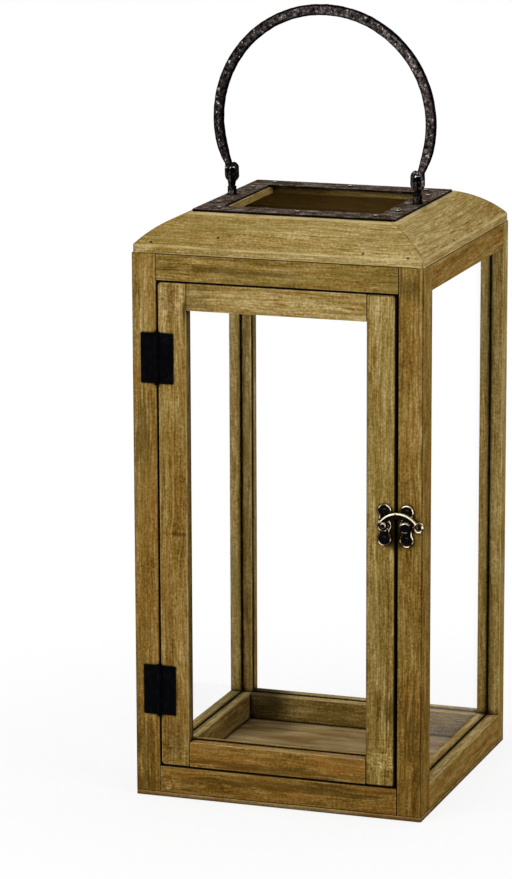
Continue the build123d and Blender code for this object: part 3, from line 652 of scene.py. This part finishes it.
# Looks of the rest
hinge_nodes = [name for name in nodes if name.startswith("hinge_")]
latch_nodes = [name for name in nodes if name.startswith(("latch_", "keeper_"))]
dress(["glass_left", "glass_right", "glass_back", "door_glass"], clear_glass("pane"))
dress(["top_plate"], sheet_iron("sheet_iron"))
dress(["plate_nails"], worn_highlit_nails("worn_highlit_nails"))
dress(["bail"], forged_iron("forged_iron", tone=0.52, sparkle=0.9, shaded_left=0.65))
dress(["bail_eye_left", "bail_eye_right", "eye_nuts"], forged_iron("eye_iron", tone=0.33, sparkle=0.3))
dress(hinge_nodes, black_paint("black_paint"))
dress(latch_nodes, dark_bronze("bronze_top_highlight", top_highlight=1.0))
dress(["latch_screws", "keeper_screws"], dark_bronze("dark_bronze", top_highlight=0.1))

DENT_LEVEL = 0.8      # of the blows' range, where the skin stays; below it the skin goes inwards


def hammer(name, cell, dent, skin):
    """Hammered iron: an even skin over the CAD solid, dented inwards."""
    piece = nodes[name]
    even = piece.modifiers.new("even_skin", "REMESH")
    even.mode = "VOXEL"
    even.voxel_size = skin
    even.use_smooth_shade = True
    blows = bpy.data.textures.new(name + "_blows", "CLOUDS")
    blows.noise_scale = cell
    blows.noise_depth = 1
    dents = piece.modifiers.new("dents", "DISPLACE")
    dents.texture = blows
    dents.texture_coords = "LOCAL"
    dents.mid_level = DENT_LEVEL
    dents.strength = dent


hammer("bail", cell=5.0 * MM, dent=0.4 * MM, skin=0.45 * MM)
for eye in ("bail_eye_left", "bail_eye_right"):
    hammer(eye, cell=2.5 * MM, dent=0.25 * MM, skin=0.25 * MM)


# Beads: the latch's brass rims and the tips of the bail's loops, in planes square to Y
ALONG_Y = Vector((0, 1, 0))


def link(piece):
    bpy.context.scene.collection.objects.link(piece)


def bead_rings(points, radius, closed, sides):
    """Vertices of a round bead along points, thinner towards the ends of an open run."""
    count = len(points)
    vertices = []
    for index, point in enumerate(points):
        before = points[index - 1] if closed or index else point
        after = points[(index + 1) % count] if closed or index < count - 1 else point
        across = (after - before).normalized().cross(ALONG_Y)
        swell = 1.0 if closed else 0.5 + 0.5 * math.sin(math.pi * (index + 0.5) / count) ** 0.4
        for side in range(sides):
            angle = 2 * math.pi * side / sides
            offset = across * math.cos(angle) + ALONG_Y * math.sin(angle)
            vertices.append(point + offset * radius * swell)
    return vertices


def bead_faces(count, closed, sides):
    """Faces from ring to ring, and the two ends of an open run."""
    faces = []
    for index in range(count if closed else count - 1):
        here, there = index * sides, (index + 1) % count * sides
        for side in range(sides):
            turn = (side + 1) % sides
            faces.append((here + side, here + turn, there + turn, there + side))
    if not closed:
        faces.append(tuple(range(sides))[::-1])
        faces.append(tuple(range((count - 1) * sides, count * sides)))
    return faces


def bead(name, points, radius, body, metal, closed=True, sides=10):
    faces = bead_faces(len(points), closed, sides)
    mesh = bpy.data.meshes.new(name)
    mesh.from_pydata(bead_rings(points, radius, closed, sides), [], faces)
    mesh.polygons.foreach_set("use_smooth", [True] * len(faces))
    mesh.materials.append(metal)
    piece = bpy.data.objects.new(name, mesh)
    link(piece)
    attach(piece, body)


def arc(centre, y, radius, start, end, steps):
    """Points on an arc seen from the front, in degrees from +X towards +Z."""
    angles = [math.radians(start + (end - start) * step / steps) for step in range(steps + 1)]
    return [Vector((centre[0] + radius * math.cos(a), y, centre[1] + radius * math.sin(a))) for a in angles]


def ring(centre, y, radius, steps):
    return arc(centre, y, radius, 0, 360, steps)[:-1]


LOBE_RADIUS = 4.7 * MM
LOBE_PITCH = LOBE_STEP * MM
WAIST_HALF = 3.5 * MM
PLATE_BEAD = 0.42 * MM
HOOK_ARC_RADIUS = 15.6 * MM
HOOK_ARC_SHIFT = 2.1 * MM
HOOK_BEAD = 0.7 * MM
HOOK_RUN = (146, 26)          # degrees, as the runs below
BOSS_RADIUS = 3.8 * MM
BOSS_RUN = (170, 370)
CURL_RADIUS = 3.6 * MM
CURL_BEAD = 0.8 * MM
THIN_BEAD = 0.36 * MM
RIVET_RIM_RADIUS = 1.6 * MM
STUD_RIM_DEPTH = 0.6 * MM     # behind the stud's front
STUD_RIM_RADIUS = 2.9 * MM
STUD_RIM_RUN = (190, 350)
GLINT_RADIUS = 2.8 * MM
GLINT_BEAD = 0.6 * MM
GLINT_RUN = (145, 85)
LONG_STEPS, RIM_STEPS, SHORT_STEPS = 40, 32, 16


def lobed_rim(centre, y):
    """Outline of a three-lobed plate, just inside its edge."""
    radius, half = LOBE_RADIUS - PLATE_BEAD, WAIST_HALF - PLATE_BEAD
    corner = math.degrees(math.acos(half / radius))
    points = []
    for lobe, start, end in ((-1, -90, corner), (0, -corner, corner), (1, -corner, 90)):
        points += arc((centre[0], centre[1] + lobe * LOBE_PITCH), y, radius, start, end, SHORT_STEPS)
    return points + [Vector((2 * centre[0] - p.x, y, p.z)) for p in reversed(points[1:-1])]


def centre_of(node):
    low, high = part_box(node)
    return (Vector(low) + Vector(high)) / 2


def front_of(node):
    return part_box(node)[0][1]


def rim_the_hook(pivot, highlit_and_rubbed, patchy):
    """Beads along the hook's crescent, round its boss and round its curl."""
    hook_low, hook_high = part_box("latch_hook")
    face = hook_low[1]
    curl = (hook_high[0] - CURL_RADIUS, pivot[1])
    arch = ((pivot[0] + curl[0]) / 2 - HOOK_ARC_SHIFT, hook_high[2] - HOOK_ARC_RADIUS)
    crescent = arc(arch, face, HOOK_ARC_RADIUS - HOOK_BEAD, *HOOK_RUN, LONG_STEPS)
    boss = arc(pivot, face, BOSS_RADIUS - THIN_BEAD, *BOSS_RUN, RIM_STEPS)
    bead("hook_rim", crescent, HOOK_BEAD, "hook", highlit_and_rubbed, closed=False)
    bead("boss_rim", boss, THIN_BEAD, "hook", patchy, closed=False)
    bead("curl_rim", ring(curl, face, CURL_RADIUS - CURL_BEAD, LONG_STEPS), CURL_BEAD, "hook", patchy)


def rim_the_latch():
    """Beads round both plates, on the hook, round its rivet and round the stud, and a painted highlight bead on the
    stud's top.
    """
    highlit_and_rubbed, patchy = patchy_brass("rubbed_and_highlit_brass", 0.85), patchy_brass("patchy_brass", 0.52)
    pivot, stud = ((place.x, place.z) for place in (centre_of("latch_rivet"), centre_of("keeper_stud")))
    bead("latch_plate_rim", lobed_rim(pivot, front_of("latch_plate")), PLATE_BEAD, "door", patchy)
    bead("keeper_plate_rim", lobed_rim(stud, front_of("keeper_plate")), PLATE_BEAD, "case", patchy)
    rim_the_hook(pivot, highlit_and_rubbed, patchy)
    bead("rivet_rim", ring(pivot, front_of("latch_rivet"), RIVET_RIM_RADIUS, RIM_STEPS), THIN_BEAD, "door", patchy)
    stud_edge = front_of("keeper_stud") + STUD_RIM_DEPTH
    rim = arc(stud, stud_edge, STUD_RIM_RADIUS, *STUD_RIM_RUN, RIM_STEPS)
    # A bright brass bead along the top of the stud: a painted highlight.
    glint = arc(stud, stud_edge, GLINT_RADIUS, *GLINT_RUN, SHORT_STEPS)
    bead("stud_rim", rim, THIN_BEAD, "case", highlit_and_rubbed, closed=False)
    bead("stud_glint", glint, GLINT_BEAD, "case", highlit_and_rubbed, closed=False)


rim_the_latch()

LOOP_TIP_RADIUS = 1.6 * MM
LOOP_TIP_BEND = 2.5 * MM
LOOP_TIP_DROP = 0.85 * MM     # top of the eye down to the centre of that bend
LOOP_TIP_RUNS = {"left": (55, 135), "right": (125, 45)}


def close_the_loops():
    """Tips of the bail's looped ends, drawn over the eyes until they meet the neck."""
    iron = nodes["bail"].data.materials[0]
    for side, run in LOOP_TIP_RUNS.items():
        eye = "bail_eye_" + side
        bend = (centre_of(eye).x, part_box(eye)[1][2] - LOOP_TIP_DROP)
        points = arc(bend, 0.0, LOOP_TIP_BEND, *run, SHORT_STEPS)
        bead("loop_tip_" + side, points, LOOP_TIP_RADIUS, "bail", iron, closed=False, sides=16)


close_the_loops()


def make_camera():
    azimuth, tilt, roll = (math.radians(v) for v in (CAMERA_AZIMUTH, CAMERA_TILT, CAMERA_ROLL))
    ahead = Vector((-math.sin(azimuth) * math.cos(tilt), math.cos(azimuth) * math.cos(tilt), -math.sin(tilt)))
    level_right = Vector((math.cos(azimuth), math.sin(azimuth), 0))
    level_up = level_right.cross(ahead)
    right = level_right * math.cos(roll) + level_up * math.sin(roll)
    up = level_up * math.cos(roll) - level_right * math.sin(roll)
    data = bpy.data.cameras.new("camera")
    data.sensor_width = SENSOR
    data.lens = CAMERA_FOCUS / IMAGE_HEIGHT * SENSOR
    camera = bpy.data.objects.new("camera", data)
    turn = Matrix((right, up, -ahead)).transposed().to_4x4()
    camera.matrix_world = Matrix.Translation(CAMERA_PLACE) @ turn
    link(camera)
    bpy.context.scene.camera = camera


# Studio
WORLD_LIGHT = 0.4             # strength of the world where it lights the object
FLOOR_HALF = 6.0
FLOOR_DROP = 0.5 * MM         # keeps the floor clear of the base
FLOOR_PAINT = (0.9, 0.9, 0.9, 1)
SHADOW_NEAR, SHADOW_FAR = 180, 420    # the shadow fades out between these distances from the middle
SHADOW_VEIL = 0.84            # share of plain white over the shadow
LIT_POINT = (0, 0, 0.25)
LAMPS = {                     # place, size and watts
    "key": ((-0.9, -1.7, 1.2), (1.2, 1.0), 22),
    "fill": ((1.9, -0.9, 0.9), (1.2, 1.2), 16),
    "top": ((0.1, 0.2, 1.7), (1.2, 1.2), 9),
}


def seen_directly(tree):
    """1 for rays from the eye, from gloss and through glass, 0 for those that light the object."""
    path = tree.nodes.new("ShaderNodeLightPath")
    result = path.outputs["Is Camera Ray"]
    for other in ("Is Glossy Ray", "Is Transmission Ray"):
        either = tree.nodes.new("ShaderNodeMath")
        either.operation = "MAXIMUM"
        tree.links.new(result, either.inputs[0])
        tree.links.new(path.outputs[other], either.inputs[1])
        result = either.outputs[0]
    return result


def make_world():
    """White where it is seen, and a softer light on the object."""
    world = bpy.data.worlds.new("studio")
    world.use_nodes = True
    tree = world.node_tree
    tree.nodes.clear()
    output = tree.nodes.new("ShaderNodeOutputWorld")
    shade = tree.nodes.new("ShaderNodeBackground")
    shade.inputs["Color"].default_value = WHITE
    strength = tree.nodes.new("ShaderNodeMapRange")
    strength.inputs["To Min"].default_value = WORLD_LIGHT
    strength.inputs["To Max"].default_value = 1.0
    tree.links.new(seen_directly(tree), strength.inputs["Value"])
    tree.links.new(strength.outputs["Result"], shade.inputs["Strength"])
    tree.links.new(shade.outputs[0], output.inputs["Surface"])
    bpy.context.scene.world = world


def floor_white():
    """White that keeps a faint shadow round the object and is plain further out."""
    s = Shader("floor_white")
    paint = s.add("BsdfDiffuse", {"Color": FLOOR_PAINT})
    glow = s.add("Emission", {"Color": WHITE, "Strength": 1.0})
    plain = s.level(s.vector("LENGTH", s.place()), SHADOW_NEAR, SHADOW_FAR, SHADOW_VEIL, 1.0)
    veil = s.math("MULTIPLY", seen_directly(s.tree), plain)
    return s.show(s.add("MixShader", {0: veil, 1: paint.outputs[0], 2: glow.outputs[0]}))


def make_floor():
    mesh = bpy.data.meshes.new("floor")
    signs = ((-1, -1), (1, -1), (1, 1), (-1, 1))
    mesh.from_pydata([(x * FLOOR_HALF, y * FLOOR_HALF, 0) for x, y in signs], [], [(0, 1, 2, 3)])
    mesh.materials.append(floor_white())
    floor = bpy.data.objects.new("floor", mesh)
    floor.location.z = -FLOOR_DROP
    link(floor)


def area_light(name, place, size, power):
    data = bpy.data.lights.new(name, "AREA")
    data.shape = "RECTANGLE"
    data.size, data.size_y = size
    data.energy = power
    light = bpy.data.objects.new(name, data)
    light.location = place
    light.rotation_euler = (Vector(LIT_POINT) - Vector(place)).to_track_quat("-Z", "Y").to_euler()
    link(light)


make_camera()
make_world()
make_floor()
for lamp, settings in LAMPS.items():
    area_light(lamp, *settings)
bpy.context.scene.view_settings.view_transform = "Standard"
